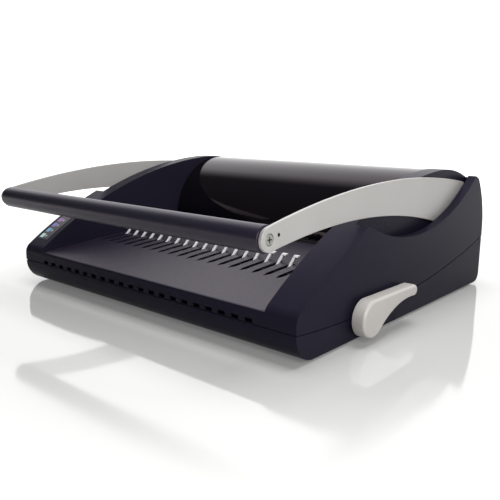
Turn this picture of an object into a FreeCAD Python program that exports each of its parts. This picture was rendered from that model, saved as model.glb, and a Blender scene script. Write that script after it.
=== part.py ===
import FreeCAD, Part
import math
import os
from types import SimpleNamespace

import Sketcher
from FreeCAD import Vector

# Driving sizes in millimetres. X runs along the row of combs, Y from the front face to the rear, Z up.
SIZES = {
    # outer casing
    "case_width": 372.0,
    "case_depth": 336.0,
    "crest_height": 129.0,
    "case_wall": 3.0,
    "foot_height": 2.0,
    "foot_radius": 8.0,
    "foot_inset_x": 26.0,
    "foot_front_y": 40.0,
    "foot_back": 50.0,
    "seam_front": 25.5,
    "seam_rear": 52.3,
    "seam_radius": 968.0,
    "seam_gap": 0.7,
    "base_front_radius": 22.0,
    "base_rear_radius": 10.0,
    "edge_round": 4.5,
    # cheeks at both sides of the bed
    "cheek_width": 30.5,
    "crest_back": 66.0,
    "back_arc_start": 86.0,
    "cheek_back_arc": 155.0,
    "cheek_rear_arc": 92.0,
    "rear_straight": 60.0,
    "lip_height": 33.0,
    "lip_top": 45.58,
    "lip_depth": 9.0,
    "scoop_back": 155.0,
    "scoop_drop": 54.5,
    "scoop_radius": 202.0,
    "pocket_depth": 8.0,
    "pocket_radius": 137.0,
    "pocket_shift": 3.0,
    "side_cavity_front": 42.0,
    # row of combs
    "comb_pitch": 14.2875,
    "row_shift": 3.0,
    "row_end_gap": 0.1,
    "notch_width": 8.0,
    "notch_height": 3.6,
    # bed that carries the comb
    "bed_front": 37.4,
    "bed_slope": 0.0745,
    "bed_thickness": 2.5,
    "bed_start": 2.5,
    "bed_gap": 1.5,
    "slot_front": 75.5,
    "slot_rear": 111.5,
    "slot_width": 4.0,
    "ramp_length": 7.0,
    "ramp_depth": 0.5,
    # hood over the punch
    "hood_skirt": 1.1,
    "hood_drop": 1.7,
    "hood_setback": 3.0,
    "hood_flat": 2.0,
    "hood_edge": 100.0,
    "hood_thickness": 3.0,
    # punch unit
    "die_back": 157.0,
    "die_thickness": 4.0,
    "throat_gap": 5.0,
    "throat_inset": 5.5,
    "guide_thickness": 10.0,
    "die_bottom": 24.0,
    "paper_stop": 33.0,
    "frame_thickness": 3.0,
    "frame_over": 18.0,
    "frame_back": 30.0,
    "frame_shoulder": 20.0,
    "frame_flange": 7.0,
    "flange_reach": 20.0,
    "pin_width": 8.0,
    "pin_height": 3.0,
    "pin_level": 37.5,
    "pin_reach": 0.4,
    "bar_gap": 1.0,
    "punch_bar_depth": 12.0,
    "punch_bar_height": 16.0,
    "tongue_height": 9.4,
    "tie_radius": 4.0,
    "tie_back": 96.0,
    "tie_z": 30.0,
    # handle
    "handle_turn": 68.0,
    "pivot_back": 52.0,
    "pivot_drop": 45.0,
    "arm_inset": 9.5,
    "arm_thickness": 3.0,
    "arm_round": 0.6,
    "hub_radius": 18.0,
    "arm_root_length": 54.0,
    "arm_swing_rear": 30.0,
    "arm_corner_y": 12.0,
    "arm_corner_z": 22.5,
    "arm_corner_radius": 8.0,
    "bar_y": -19.3,
    "bar_drop": 31.6,
    "bar_core_radius": 6.0,
    "grip_radius": 10.1,
    "grip_round": 7.0,
    "tip_radius": 9.0,
    "arm_top_radius": 837.0,
    "arm_bottom_radius": 600.0,
    "screw_head_radius": 4.0,
    "screw_head_height": 1.2,
    "screw_recess": 0.3,
    "dowel_radius": 1.0,
    "dowel_y": 9.6,
    "dowel_z": 2.3,
    "screw_shank_radius": 2.5,
    "screw_grip": 12.0,
    "tapped_depth": 18.0,
    "shaft_radius": 6.0,
    "bush_wall": 3.0,
    "bush_flange": 2.0,
    # gears
    "gear_module": 1.0,
    "drive_teeth": 18,
    "rake_teeth": 24,
    "gear_face": 6.0,
    "gear_inset": 10.0,
    "rake_gear_inset": 32.0,
    "gear_backlash": 0.2,
    "rack_height": 5.0,
    "rack_front": 22.0,
    "rack_rear": 16.0,
    "rake_rack_end": 12.0,
    "carriage_thickness": 4.0,
    "carriage_setback": 2.0,
    # comb lever and the rake of hooks
    "lever_y": 84.0,
    "lever_z": 21.0,
    "lever_proud": 15.0,
    "lever_thickness": 12.0,
    "lever_bulb": 15.8,
    "lever_length": 73.5,
    "lever_tip": 5.0,
    "lever_tip_rise": 10.0,
    "lever_waist_radius": 79.0,
    "lever_round": 2.5,
    "lever_shaft_radius": 5.0,
    "shaft_overhang": 8.0,
    "lever_boss_radius": 9.0,
    "block_width": 8.0,
    "block_depth": 26.0,
    "block_height": 27.0,
    "rake_inset": 2.0,
    "rake_depth": 24.0,
    "rake_y": 99.0,
    "rake_level": 36.6,
    "rake_thickness": 2.0,
    "rake_travel": 26.0,
    "guide_margin": 6.0,
    "hook_width": 3.0,
    "hook_thickness": 2.0,
    "hook_head": 5.8,
    "hook_head_height": 1.7,
    "hook_y": 107.4,
    "hook_z": 44.5,
    "hook_rise": 8.7,
    "hook_lean": 8.6,
    # tray for the punched chips
    "tray_inset": 30.0,
    "tray_reach": 27.0,
    "tray_height": 15.0,
    "tray_wall": 2.0,
    "tray_grip_width": 70.0,
    "tray_grip_depth": 6.0,
    # screws and fits
    "boss_radius": 4.2,
    "boss_front_y": 66.0,
    "boss_back": 30.0,
    "case_screw_radius": 1.6,
    "case_screw_head": 3.4,
    "case_screw_head_height": 1.4,
    "case_screw_length": 16.0,
    "running_fit": 0.05,
    "slide_clearance": 0.3,
    "arm_clearance": 1.0,
    "pin_clearance": 0.15,
}


def as_size(value):
    return value if isinstance(value, Size) else Size(float(value), repr(float(value)))


class Size:
    """A length that keeps its number together with the sheet formula it comes from."""

    def __init__(self, number, formula):
        self.number = number
        self.formula = formula

    def __add__(self, other):
        other = as_size(other)
        return Size(self.number + other.number, f"({self.formula} + {other.formula})")

    def __sub__(self, other):
        other = as_size(other)
        return Size(self.number - other.number, f"({self.formula} - {other.formula})")

    def __mul__(self, other):
        other = as_size(other)
        return Size(self.number * other.number, f"({self.formula} * {other.formula})")

    def __truediv__(self, other):
        other = as_size(other)
        return Size(self.number / other.number, f"({self.formula} / {other.formula})")

    def __rsub__(self, other):
        return as_size(other) - self

    def __neg__(self):
        return as_size(0) - self

    __radd__ = __add__
    __rmul__ = __mul__


def root(square):
    return Size(math.sqrt(square.number), f"sqrt({square.formula})")


def whole(size):
    return Size(math.floor(size.number), f"floor({size.formula})")


doc = FreeCAD.newDocument("comb_binder")
sheet = doc.addObject("Spreadsheet::Sheet", "dims")
for row, (name, value) in enumerate(SIZES.items(), start=1):
    sheet.set(f"A{row}", name)
    sheet.set(f"B{row}", str(value))
    sheet.setAlias(f"B{row}", name)
doc.recompute()
d = SimpleNamespace(**{name: Size(float(value), f"dims.{name}") for name, value in SIZES.items()})

# The origin of the part is the middle of its outline on the table.
centre_x = d.lever_proud / 2
centre_y = (d.case_depth + d.bar_y - d.grip_radius) / 2
subparts = []


def origin_feature(body, role):
    return next(feature for feature in body.Origin.OriginFeatures if feature.Role == role)


def bind(target, prop, size):
    target.setExpression(prop, as_size(size).formula)


def place(target, x=0, y=0, z=0):
    bind(target, "Placement.Base.x", as_size(x) - centre_x)
    bind(target, "Placement.Base.y", as_size(y) - centre_y)
    bind(target, "Placement.Base.z", as_size(z))


def new_body(label, x=0, y=0, z=0):
    """A sub-part whose own zero stands at the given place."""
    body = doc.addObject("PartDesign::Body", label)
    body.Label = label
    place(body, x, y, z)
    subparts.append(body)
    return body


def arc_edge(start, end, radius):
    """The shorter arc between two points: a positive radius turns left along the outline."""
    chord = end - start
    middle = (start + end) * 0.5
    left = Vector(-chord.y, chord.x, 0).normalize()
    rise = math.sqrt(radius * radius - chord.Length * chord.Length / 4)
    centre = middle + left * math.copysign(rise, radius)
    first, last = (start, end) if radius > 0 else (end, start)
    angles = [math.atan2(p.y - centre.y, p.x - centre.x) for p in (first, last)]
    return Part.ArcOfCircle(Part.Circle(centre, Vector(0, 0, 1), abs(radius)), *angles)


def draw_outline(sketch, corners):
    """A closed outline. A corner is (u, v) after a straight run or (u, v, radius) after an arc."""
    corners = [tuple(as_size(value) for value in corner) for corner in corners]
    points = [Vector(corner[0].number, corner[1].number, 0) for corner in corners]
    runs = []
    for index, corner in enumerate(corners):
        start, end = points[index - 1], points[index]
        if len(corner) == 2:
            runs.append((sketch.addGeometry(Part.LineSegment(start, end), False), 1, 2))
            continue
        geometry = sketch.addGeometry(arc_edge(start, end, corner[2].number), False)
        runs.append((geometry, 1, 2) if corner[2].number > 0 else (geometry, 2, 1))
        radius = sketch.addConstraint(Sketcher.Constraint("Radius", geometry, abs(corner[2].number)))
        bind(sketch, f"Constraints[{radius}]", corner[2] if corner[2].number > 0 else -corner[2])
    for index, (geometry, first, last) in enumerate(runs):
        after, after_first, _ = runs[(index + 1) % len(runs)]
        sketch.addConstraint(Sketcher.Constraint("Coincident", geometry, last, after, after_first))
        for kind, size in zip(("DistanceX", "DistanceY"), corners[index][:2]):
            fixed = sketch.addConstraint(Sketcher.Constraint(kind, -1, 1, geometry, last, size.number))
            bind(sketch, f"Constraints[{fixed}]", size)


def draw_circle(sketch, u, v, radius):
    u, v, radius = as_size(u), as_size(v), as_size(radius)
    circle = Part.Circle(Vector(u.number, v.number, 0), Vector(0, 0, 1), radius.number)
    geometry = sketch.addGeometry(circle, False)
    across = sketch.addConstraint(Sketcher.Constraint("DistanceX", -1, 1, geometry, 3, u.number))
    up = sketch.addConstraint(Sketcher.Constraint("DistanceY", -1, 1, geometry, 3, v.number))
    bound = sketch.addConstraint(Sketcher.Constraint("Radius", geometry, radius.number))
    for constraint, size in ((across, u), (up, v), (bound, radius)):
        bind(sketch, f"Constraints[{constraint}]", size)


def extrude(body, kind, plane, start, end, outlines=(), circles=()):
    """A pad or pocket between two places along the axis that crosses the sketch plane."""
    sketch = body.newObject("Sketcher::SketchObject", "Sketch")
    sketch.AttachmentSupport = (origin_feature(body, plane), [""])
    sketch.MapMode = "FlatFace"
    for corners in outlines:
        draw_outline(sketch, corners)
    for circle in circles:
        draw_circle(sketch, *circle)
    foot = -as_size(end) if plane == "XZ_Plane" else as_size(start)
    bind(sketch, "AttachmentOffset.Base.z", foot)
    feature = body.newObject(f"PartDesign::{kind}", kind)
    feature.Profile = sketch
    feature.Reversed = kind == "Pocket"
    bind(feature, "Length", as_size(end) - start)
    return feature


def pad(body, plane, start, end, *outlines, circles=()):
    return extrude(body, "Pad", plane, start, end, outlines, circles)


def pocket(body, plane, start, end, *outlines, circles=()):
    return extrude(body, "Pocket", plane, start, end, outlines, circles)


def across(one, other):
    """Two places along an axis, the lower one first."""
    return (one, other) if one.number < other.number else (other, one)


def rectangle(u0, u1, v0, v1):
    return [(u0, v0), (u1, v0), (u1, v1), (u0, v1)]


def mirror(body, *features):
    """The same features at the other side of the middle plane."""
    copy = body.newObject("PartDesign::Mirrored", "Mirrored")
    copy.Originals = list(features)
    copy.MirrorPlane = (origin_feature(body, "YZ_Plane"), [""])
    body.Tip = copy
    return copy


def repeat(body, axis, pitch, count, *features):
    copy = body.newObject("PartDesign::LinearPattern", "LinearPattern")
    copy.Originals = list(features)
    copy.Direction = (origin_feature(body, axis), [""])
    bind(copy, "Length", as_size(pitch) * (as_size(count) - 1))
    bind(copy, "Occurrences", count)
    body.Tip = copy
    return copy


def repeat_along_row(body, *features):
    return repeat(body, "X_Axis", d.comb_pitch, comb_count, *features)


def round_edges(body, radius, wanted):
    """A fillet on the edges of the tip that the test picks."""
    doc.recompute()
    base = body.Tip
    edges = [f"Edge{n}" for n, edge in enumerate(base.Shape.Edges, start=1) if wanted(edge)]
    fillet = body.newObject("PartDesign::Fillet", "Fillet")
    fillet.Base = (base, edges)
    bind(fillet, "Radius", radius)
    body.Tip = fillet
    return fillet


def lies_on(edge, axis, level):
    """Does the whole edge lie at this level of the axis?"""
    box = edge.BoundBox
    low, high = {"x": (box.XMin, box.XMax), "y": (box.YMin, box.YMax), "z": (box.ZMin, box.ZMax)}[axis]
    return abs(low - level) < 0.01 and abs(high - level) < 0.01


# Shared places that follow from the driving sizes.
half = d.case_width / 2
inner_half = half - d.cheek_width
arm_outer = half - d.arm_inset
arm_inner = arm_outer - d.arm_thickness
pocket_inner = arm_inner - d.arm_clearance
pocket_outer = arm_outer + d.arm_clearance
screw_seat = arm_outer - d.screw_head_height - d.screw_recess
floor_top = d.foot_height + d.case_wall
frame_inner = inner_half - d.throat_inset
frame_outer = frame_inner + d.frame_thickness
frame_rear = d.case_depth - d.frame_back
die_start = d.case_depth - d.die_back
throat_front = die_start + d.die_thickness
throat_rear = throat_front + d.throat_gap
guide_rear = throat_rear + d.guide_thickness
bar_front = guide_rear + d.bar_gap
bed_end = die_start - d.bed_gap
pivot_y = d.case_depth - d.pivot_back
pivot_z = d.crest_height - d.pivot_drop
bar_z = d.crest_height - d.bar_drop
hood_top = d.crest_height - d.hood_drop
tie_y = d.case_depth - d.tie_back
row_length = (frame_inner - d.row_shift - d.row_end_gap) * 2 - d.pin_width
comb_count = whole(row_length / d.comb_pitch) + 1
row_start = -d.row_shift - d.comb_pitch * (comb_count - 1) / 2
tray_half = frame_inner - d.tray_inset
tray_front = die_start - d.tray_reach
tray_bottom = floor_top + d.slide_clearance
tray_top = tray_bottom + d.tray_height
rake_half = frame_inner - d.rake_inset
rake_gear_x = frame_inner - d.rake_gear_inset
gear_x = frame_inner - d.gear_inset
boss_x = (frame_outer + d.frame_flange + pocket_inner - d.case_wall) / 2
boss_rear_y = d.case_depth - d.boss_back
drive_radius = d.gear_module * d.drive_teeth / 2
rake_radius = d.gear_module * d.rake_teeth / 2
bush_radius = d.shaft_radius + d.bush_wall
outside = d.case_depth + d.crest_height
arm_corner_reach = d.arm_corner_radius + root(
    d.arm_corner_y * d.arm_corner_y + d.arm_corner_z * d.arm_corner_z)

# The cheek's long upper arc runs from the top of the front lip to its level crest.
crest_y = d.case_depth - d.crest_back
crest_run = crest_y - d.lip_depth
crest_rise = d.crest_height - d.lip_top
cheek_arc = (crest_run * crest_run + crest_rise * crest_rise) / (crest_rise * 2)


def cheek_top(y, inset=0):
    """Height of the cheek's long upper arc, or of the arc inside it."""
    reach = cheek_arc - inset
    back = crest_y - y
    return d.crest_height - cheek_arc + root(reach * reach - back * back)


def back_arc_places():
    """Start of the arc behind the crest, the direction from there to its centre, and that centre."""
    start_y = d.case_depth - d.back_arc_start
    start = Vector(start_y.number, cheek_top(start_y).number, 0)
    long_centre = Vector(crest_y.number, (d.crest_height - cheek_arc).number, 0)
    inward = Vector(long_centre - start).normalize()
    return start, inward, start + inward * d.cheek_back_arc.number


def cheek_back_top(y, inset):
    """Height of the arc behind the crest, moved inwards by the inset."""
    _, _, centre = back_arc_places()
    reach = (d.cheek_back_arc - inset).number
    return centre.y + math.sqrt(reach**2 - (y.number - centre.x)**2)


def cheek_outline(inset, front, foot):
    """Upper outline of a cheek from its rear wall to its front lip, moved inwards by the inset."""
    start, inward, back_centre = back_arc_places()
    rear_centre = Vector((d.case_depth - d.cheek_rear_arc).number, d.rear_straight.number, 0)
    back_arc = d.cheek_back_arc - inset
    rear_arc = d.cheek_rear_arc - inset
    corner = meeting_point(back_centre, back_arc.number, rear_centre, rear_arc.number)
    blend = start + inward * as_size(inset).number
    return [
        (d.case_depth - inset, foot),
        (d.case_depth - inset, d.rear_straight),
        (corner.x, corner.y, rear_arc),
        (blend.x, blend.y, back_arc),
        (front, cheek_top(front, inset), cheek_arc - inset),
    ]


def front_lip():
    """Radius of the rounding between the front face and the long arc, and where it meets that arc."""
    rise = cheek_arc - d.crest_height + d.lip_height
    spare = cheek_arc * cheek_arc - crest_y * crest_y - rise * rise
    radius = spare / ((cheek_arc - crest_y) * 2)
    return radius, crest_y - (crest_y - radius) * cheek_arc / (cheek_arc - radius)


def rear_face(z, inset=0):
    """Place of the rounded rear wall, or of its inner face, at a height over its straight part."""
    reach = d.cheek_rear_arc - inset
    rise = z - d.rear_straight
    return d.case_depth - d.cheek_rear_arc + root(reach * reach - rise * rise)


def meeting_point(first, first_reach, second, second_reach):
    """The point at these distances from two places, to the right of the way from one to the other."""
    gap = second - first
    along = (first_reach**2 - second_reach**2 + gap.Length**2) / (2 * gap.Length)
    aside = math.sqrt(first_reach**2 - along**2)
    ahead = Vector(gap).normalize()
    return first + ahead * along + Vector(ahead.y, -ahead.x, 0) * aside


def touching_line(first, first_radius, second, second_radius):
    """Direction out of two circles to the line that touches both, left of the way between them."""
    gap = second - first
    ahead = Vector(gap).normalize()
    share = (first_radius - second_radius) / gap.Length
    return ahead * share + Vector(-ahead.y, ahead.x, 0) * math.sqrt(1 - share**2)


def toward(start, goal, distance):
    return start + Vector(goal - start).normalize() * distance


def bed_top(y):
    return d.bed_front + d.bed_slope * y


def bed_under(y):
    return bed_top(y) - d.bed_thickness


def base_tray():
    """Lower casing: a moulded tray whose upper edge follows the seam."""
    body = new_body("base_tray")
    front_edge = d.seam_front - d.seam_gap / 2
    rear_edge = d.seam_rear - d.seam_gap / 2
    underside = d.foot_height
    pad(body, "YZ_Plane", -half, half, [
        (0, underside + d.base_front_radius),
        (d.base_front_radius, underside, d.base_front_radius),
        (d.case_depth - d.base_rear_radius, underside),
        (d.case_depth, underside + d.base_rear_radius, d.base_rear_radius),
        (d.case_depth, rear_edge),
        (0, front_edge, -d.seam_radius),
    ])
    inner_front = d.base_front_radius - d.case_wall
    inner_rear = d.base_rear_radius - d.case_wall
    pocket(body, "YZ_Plane", d.case_wall - half, half - d.case_wall, [
        (d.case_wall, floor_top + inner_front),
        (d.base_front_radius, floor_top, inner_front),
        (d.case_depth - d.base_rear_radius, floor_top),
        (d.case_depth - d.case_wall, floor_top + inner_rear, inner_rear),
        (d.case_depth - d.case_wall, d.crest_height),
        (d.case_wall, d.crest_height),
    ])
    gap = d.slide_clearance
    pocket(body, "XY_Plane", floor_top, tray_top + gap * 2,
           rectangle(-tray_half - gap, tray_half + gap, d.case_depth - d.base_rear_radius, outside))
    pocket(body, "YZ_Plane", half - d.case_wall * 2, half + d.case_wall,
           circles=[(d.lever_y, d.lever_z, d.lever_shaft_radius + d.slide_clearance)])
    places = [(boss_x, d.boss_front_y), (boss_x, boss_rear_y)]
    bores = pocket(body, "XY_Plane", underside, floor_top,
                   circles=[(x, y, d.case_screw_radius + d.pin_clearance) for x, y in places])
    sinks = pocket(body, "XY_Plane", underside, underside + d.case_screw_head_height,
                   circles=[(x, y, d.case_screw_head + d.pin_clearance) for x, y in places])
    mirror(body, bores, sinks)
    round_edges(body, d.edge_round, lambda edge: side_edge(edge) and not seam_edge(edge))


def side_edge(edge):
    """An edge where a side face of the casing meets its front, top or bottom."""
    return lies_on(edge, "x", half.number) or lies_on(edge, "x", -half.number)


def seam_edge(edge):
    """The long edge at the seam, and the edge of the lever shaft's half hole in it."""
    arc = edge.Curve
    lever = isinstance(arc, Part.Circle) and arc.Radius < d.base_rear_radius.number
    long_arc = isinstance(arc, Part.Circle) and arc.Radius > cheek_arc.number
    return long_arc or lever


def upper_cover():
    """Upper casing: front lip with notches, two hollow cheeks with arm pockets, and the rear wall."""
    body = new_body("upper_cover")
    front_edge = d.seam_front + d.seam_gap / 2
    rear_edge = d.seam_rear + d.seam_gap / 2
    wall = d.case_wall
    lip_radius, lip_back = front_lip()
    pad(body, "YZ_Plane", -half, half, [
        (0, front_edge),
        (d.case_depth, rear_edge, d.seam_radius),
        *cheek_outline(0, lip_back, rear_edge)[1:],
        (0, d.lip_height, lip_radius),
    ])
    hood_gap = d.hood_edge - d.slide_clearance
    lip_rear = d.bed_start - d.slide_clearance
    pocket(body, "YZ_Plane", -inner_half, inner_half, [
        (wall, 0),
        (d.case_depth - wall, 0),
        (d.case_depth - wall, d.rear_straight),
        (rear_face(hood_gap, wall), hood_gap, d.cheek_rear_arc - wall),
        (outside, hood_gap),
        (outside, outside),
        (-wall, outside),
        (-wall, bed_top(-wall)),
        (lip_rear, bed_top(lip_rear)),
        (lip_rear, bed_under(lip_rear)),
        (wall, bed_under(wall)),
    ])
    lip_inner = d.lip_depth + wall * 2
    cheek = pocket(body, "YZ_Plane", inner_half + wall, pocket_inner - wall, [
        (wall, 0),
        *cheek_outline(wall, lip_inner, 0),
        (wall, d.lip_height),
    ])
    scoop_y = d.case_depth - d.scoop_back
    scoop_low = d.crest_height - d.scoop_drop
    cavity_top = scoop_low - d.pocket_depth - wall
    side = pocket(body, "YZ_Plane", pocket_inner - wall, half - wall,
                  rectangle(d.side_cavity_front, pivot_y - d.arm_root_length - wall, 0, cavity_top))
    scoop = pocket(body, "YZ_Plane", pocket_inner, half + wall,
                   circles=[(scoop_y, scoop_low + d.scoop_radius, d.scoop_radius)])
    pocket_low = scoop_low - d.pocket_depth
    arm = pocket(body, "YZ_Plane", pocket_inner, pocket_outer,
                 circles=[(scoop_y + d.pocket_shift, pocket_low + d.pocket_radius, d.pocket_radius)])
    hub = pocket(body, "YZ_Plane", pocket_inner, pocket_outer, rectangle(
        pivot_y - d.arm_root_length,
        pivot_y + d.arm_swing_rear,
        pivot_z - d.hub_radius - d.arm_clearance,
        outside,
    ))
    swing = pocket(body, "YZ_Plane", pocket_inner, pocket_outer,
                   circles=[(pivot_y, pivot_z, arm_corner_reach + d.arm_clearance)])
    bosses = []
    front_top = cheek_top(d.boss_front_y, wall / 2)
    rear_top = cheek_back_top(boss_rear_y, wall / 2)
    for y, top in ((d.boss_front_y, front_top), (boss_rear_y, rear_top)):
        bosses.append(pad(body, "XY_Plane", floor_top, top, circles=[(boss_x, y, d.boss_radius)]))
        bosses.append(pocket(body, "XY_Plane", floor_top, floor_top + d.case_screw_length,
                             circles=[(boss_x, y, d.case_screw_radius + d.pin_clearance)]))
    mirror(body, cheek, side, scoop, arm, hub, swing, *bosses)
    pocket(body, "YZ_Plane", -arm_inner, arm_inner,
           circles=[(pivot_y, pivot_z, d.shaft_radius + d.arm_clearance)])
    pocket(body, "YZ_Plane", inner_half - wall, half + wall,
           circles=[(d.lever_y, d.lever_z, d.lever_shaft_radius + d.slide_clearance)])
    notch = pocket(body, "XZ_Plane", -wall, wall * 2,
                   rectangle(row_start - d.notch_width / 2, row_start + d.notch_width / 2,
                             0, front_edge + d.notch_height))
    repeat_along_row(body, notch)
    round_edges(body, d.edge_round, lambda edge: side_edge(edge) and not seam_edge(edge))


def comb_bed():
    """Sloping plate that the combs lie on, with a slot and a pointed ramp for every hook."""
    body = new_body("comb_bed")
    reach = inner_half - d.slide_clearance
    pad(body, "YZ_Plane", -reach, reach, [
        (d.bed_start, bed_under(d.bed_start)),
        (bed_end, bed_under(bed_end)),
        (bed_end, bed_top(bed_end)),
        (d.bed_start, bed_top(d.bed_start)),
    ])
    side = d.slot_width / 2
    slot = pocket(body, "XY_Plane", 0, outside,
                  rectangle(row_start - side, row_start + side, d.slot_front, d.slot_rear))
    ramp_tip = d.slot_front - d.ramp_length
    ramp_floor = bed_top(ramp_tip) - d.ramp_depth
    ramp = pocket(body, "XY_Plane", ramp_floor, outside, [
        (row_start, ramp_tip),
        (row_start + side, d.slot_front),
        (row_start - side, d.slot_front),
    ])
    repeat_along_row(body, slot, ramp)


def hood_panel():
    """Glossy curved panel over the punch, from the throat over the ridge to the rear wall."""
    body = new_body("hood_panel")
    reach = inner_half - d.slide_clearance
    foot = bed_top(guide_rear)
    spring = foot + d.hood_skirt
    outer = hood_top - spring
    inner = outer - d.hood_thickness
    front = guide_rear - d.hood_setback
    centre = front + outer
    ridge = centre + d.hood_flat
    drop = hood_top - d.hood_edge
    run = rear_face(d.hood_edge) - ridge
    rear_outer = (run * run + drop * drop) / (drop * 2)
    rear_inner = rear_outer - d.hood_thickness
    rise = d.hood_edge - hood_top + rear_outer
    pad(body, "YZ_Plane", -reach, reach, [
        (front, foot),
        (front + d.hood_thickness, foot),
        (front + d.hood_thickness, spring),
        (centre, spring + inner, -inner),
        (ridge, spring + inner),
        (ridge + root(rear_inner * rear_inner - rise * rise), d.hood_edge, -rear_inner),
        (ridge + run, d.hood_edge),
        (ridge, hood_top, rear_outer),
        (centre, hood_top),
        (front, spring, outer),
    ])


def rubber_feet():
    """Four rubber discs under the base."""
    body = new_body("rubber_feet")
    x = half - d.foot_inset_x
    foot = pad(body, "XY_Plane", 0, d.foot_height,
               circles=[(x, y, d.foot_radius) for y in (d.foot_front_y, d.case_depth - d.foot_back)])
    mirror(body, foot)


def casing_screws():
    """Four screws that hold the upper cover's bosses to the base."""
    body = new_body("casing_screws")
    places = [(boss_x, d.boss_front_y), (boss_x, boss_rear_y)]
    head = pad(body, "XY_Plane", d.foot_height, d.foot_height + d.case_screw_head_height,
               circles=[(x, y, d.case_screw_head) for x, y in places])
    shank = pad(body, "XY_Plane", d.foot_height, floor_top + d.case_screw_length - d.case_wall,
                circles=[(x, y, d.case_screw_radius) for x, y in places])
    mirror(body, head, shank)


def frame_plate(label, side):
    """Steel side plate of the punch unit: it carries the die, the guide, the bar's tongue and the bush."""
    body = new_body(label)
    inner, outer = across(frame_inner * side, frame_outer * side)
    front = die_start - d.pin_reach
    frame_top = pivot_z + d.frame_over
    pad(body, "YZ_Plane", inner, outer, [
        (front, floor_top),
        (frame_rear, floor_top),
        (frame_rear, frame_top),
        (pivot_y - d.frame_shoulder, frame_top),
        (guide_rear, bed_under(bed_end)),
        (front, bed_under(bed_end)),
    ])
    slot_half = d.tongue_height / 2 + d.slide_clearance
    travel = drive_radius * d.handle_turn * (math.pi / 180)
    pocket(body, "YZ_Plane", inner, outer, rectangle(
        bar_front - d.slide_clearance,
        bar_front + d.punch_bar_depth + travel + d.slide_clearance,
        d.pin_level - slot_half,
        d.pin_level + slot_half,
    ))
    pocket(body, "YZ_Plane", inner, outer, circles=[(pivot_y, pivot_z, bush_radius + d.running_fit)])
    pocket(body, "YZ_Plane", inner, outer, circles=[(tie_y, d.tie_z, d.tie_radius + d.running_fit)])
    low, high = across(frame_outer * side, (frame_outer + d.frame_flange) * side)
    pad(body, "XY_Plane", floor_top, floor_top + d.frame_thickness,
        rectangle(low, high, tie_y - d.flange_reach, frame_rear))


def sheared_holes(body, y0, y1):
    """The row of rectangular holes that the punch pins pass through."""
    wide = d.pin_width / 2 + d.pin_clearance
    high = d.pin_height / 2 + d.pin_clearance
    hole = pocket(body, "XZ_Plane", y0, y1,
                  rectangle(row_start - wide, row_start + wide, d.pin_level - high, d.pin_level + high))
    repeat_along_row(body, hole)


def front_die_plate():
    """Hardened strip in front of the paper throat."""
    body = new_body("front_die_plate")
    pad(body, "YZ_Plane", -frame_inner, frame_inner,
        rectangle(die_start, throat_front, d.die_bottom, bed_top(bed_end)))
    sheared_holes(body, die_start, throat_front)


def punch_guide_plate():
    """Thick strip behind the throat that guides the pins and carries the foot of the hood."""
    body = new_body("punch_guide_plate")
    pad(body, "YZ_Plane", -frame_inner, frame_inner,
        rectangle(throat_rear, guide_rear, d.die_bottom, bed_top(bed_end)))
    sheared_holes(body, throat_rear, guide_rear)


def paper_stop():
    """Strip at the bottom of the throat that the sheets stand on."""
    body = new_body("paper_stop")
    pad(body, "YZ_Plane", -frame_inner, frame_inner,
        rectangle(throat_front, throat_rear, d.die_bottom, d.paper_stop))


def shaft_bush(label, side):
    """Flanged bronze bush of the handle shaft in a frame plate."""
    body = new_body(label)
    inner, outer = across(frame_inner * side, frame_outer * side)
    rim, face = across(frame_outer * side, (frame_outer + d.bush_flange) * side)
    centre = (pivot_y, pivot_z)
    pad(body, "YZ_Plane", inner, outer, circles=[(*centre, bush_radius)])
    pad(body, "YZ_Plane", rim, face, circles=[(*centre, bush_radius + d.bush_wall)])
    pocket(body, "YZ_Plane", -half, half, circles=[(*centre, d.shaft_radius + d.running_fit)])


def tie_rod():
    """Steel rod that ties the two frame plates together."""
    body = new_body("tie_rod")
    pad(body, "YZ_Plane", -frame_outer, frame_outer, circles=[(tie_y, d.tie_z, d.tie_radius)])


def arm_outline():
    """Tip circle, long top arc, rounded rear corner, hub and long lower arc, all tangent to each other."""
    tip = Vector(d.bar_y.number, bar_z.number, 0)
    hub = Vector(pivot_y.number, pivot_z.number, 0)
    corner = hub + Vector(d.arm_corner_y.number, d.arm_corner_z.number, 0)
    tip_radius, hub_radius = d.tip_radius.number, d.hub_radius.number
    corner_radius = d.arm_corner_radius.number
    top, bottom = d.arm_top_radius.number, d.arm_bottom_radius.number
    top_centre = meeting_point(tip, top - tip_radius, corner, top - corner_radius)
    bottom_centre = meeting_point(tip, bottom + tip_radius, hub, bottom + hub_radius)
    outward = touching_line(corner, corner_radius, hub, hub_radius)
    points = [
        (toward(hub, bottom_centre, hub_radius), -d.arm_bottom_radius),
        (hub + outward * hub_radius, d.hub_radius),
        (corner + outward * corner_radius,),
        (toward(corner, top_centre, -corner_radius), d.arm_corner_radius),
        (toward(tip, top_centre, -tip_radius), d.arm_top_radius),
        (tip - Vector(tip_radius, 0, 0), d.tip_radius),
        (toward(tip, bottom_centre, tip_radius), d.tip_radius),
    ]
    return [(point.x, point.y, *radius) for point, *radius in points]


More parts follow.
